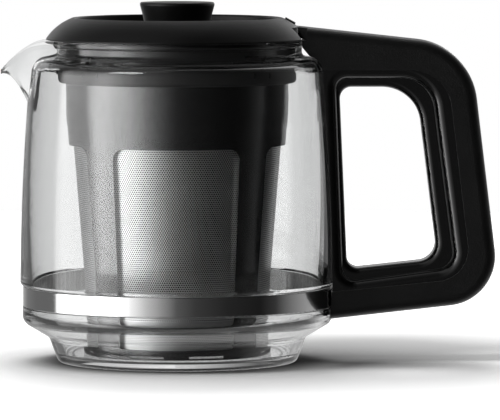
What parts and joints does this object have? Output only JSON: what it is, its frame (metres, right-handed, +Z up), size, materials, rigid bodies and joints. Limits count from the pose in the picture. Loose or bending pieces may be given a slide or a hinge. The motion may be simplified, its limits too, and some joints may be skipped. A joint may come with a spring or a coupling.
{
  "type": "glass tea jug with lift-out infusing basket",
  "caption": "Glass tea jug with a beaked spout, steel band, closed loop handle, lift-out infusing basket and a domed twist-lock lid with a flared knob.",
  "frame": {"origin": "On the jug's axis, in the plane it stands on.", "axes": "+Z up, +X from the spout side to the handle side, +Y away from the viewer of the picture."},
  "size_m": [0.2383, 0.1519, 0.1742],
  "materials": {
    "glass": "clear blown glass",
    "silicone": "soft dark silicone",
    "pale_silicone": "soft milky silicone",
    "polished_steel": "polished stainless steel",
    "steel": "bright stainless steel",
    "matte_black": "fine-textured black plastic",
    "gloss_black": "glossy black plastic",
    "satin_black": "satin black plastic"
  },
  "bodies": {
    "jug": {"glass_jug": "glass", "band_strip": "pale_silicone", "steel_band": "polished_steel", "band_bracket": "polished_steel", "handle_shell": "matte_black", "handle_liner": "gloss_black", "band_screw": "steel", "band_nut": "steel", "handle_screws": "steel"},
    "basket": {"basket_frame": "gloss_black", "mesh_sleeve": "steel", "floor_mesh": "steel", "base_ring": "gloss_black", "basket_collar": "satin_black"},
    "seal": {"lid_seal": "silicone"},
    "lid": {"lid_cover": "matte_black", "lid_skirt": "satin_black", "lid_plate": "satin_black", "lid_screws": "steel", "lock_marker": "gloss_black", "knob": "matte_black", "knob_screw": "steel"}
  },
  "joints": [
    {"name": "basket_lift", "type": "slide", "parent": "jug", "child": "basket", "axis": [0, 0, 1], "range_m": [0, 0.17]},
    {"name": "lid_lift", "type": "slide", "parent": "basket", "child": "seal", "axis": [0, 0, 1], "range_m": [0, 0.05]},
    {"name": "lid_twist", "type": "hinge", "parent": "seal", "child": "lid", "pos_m": [0, 0, 0], "axis": [0, 0, 1], "range_deg": [0, 8]}
  ]
}
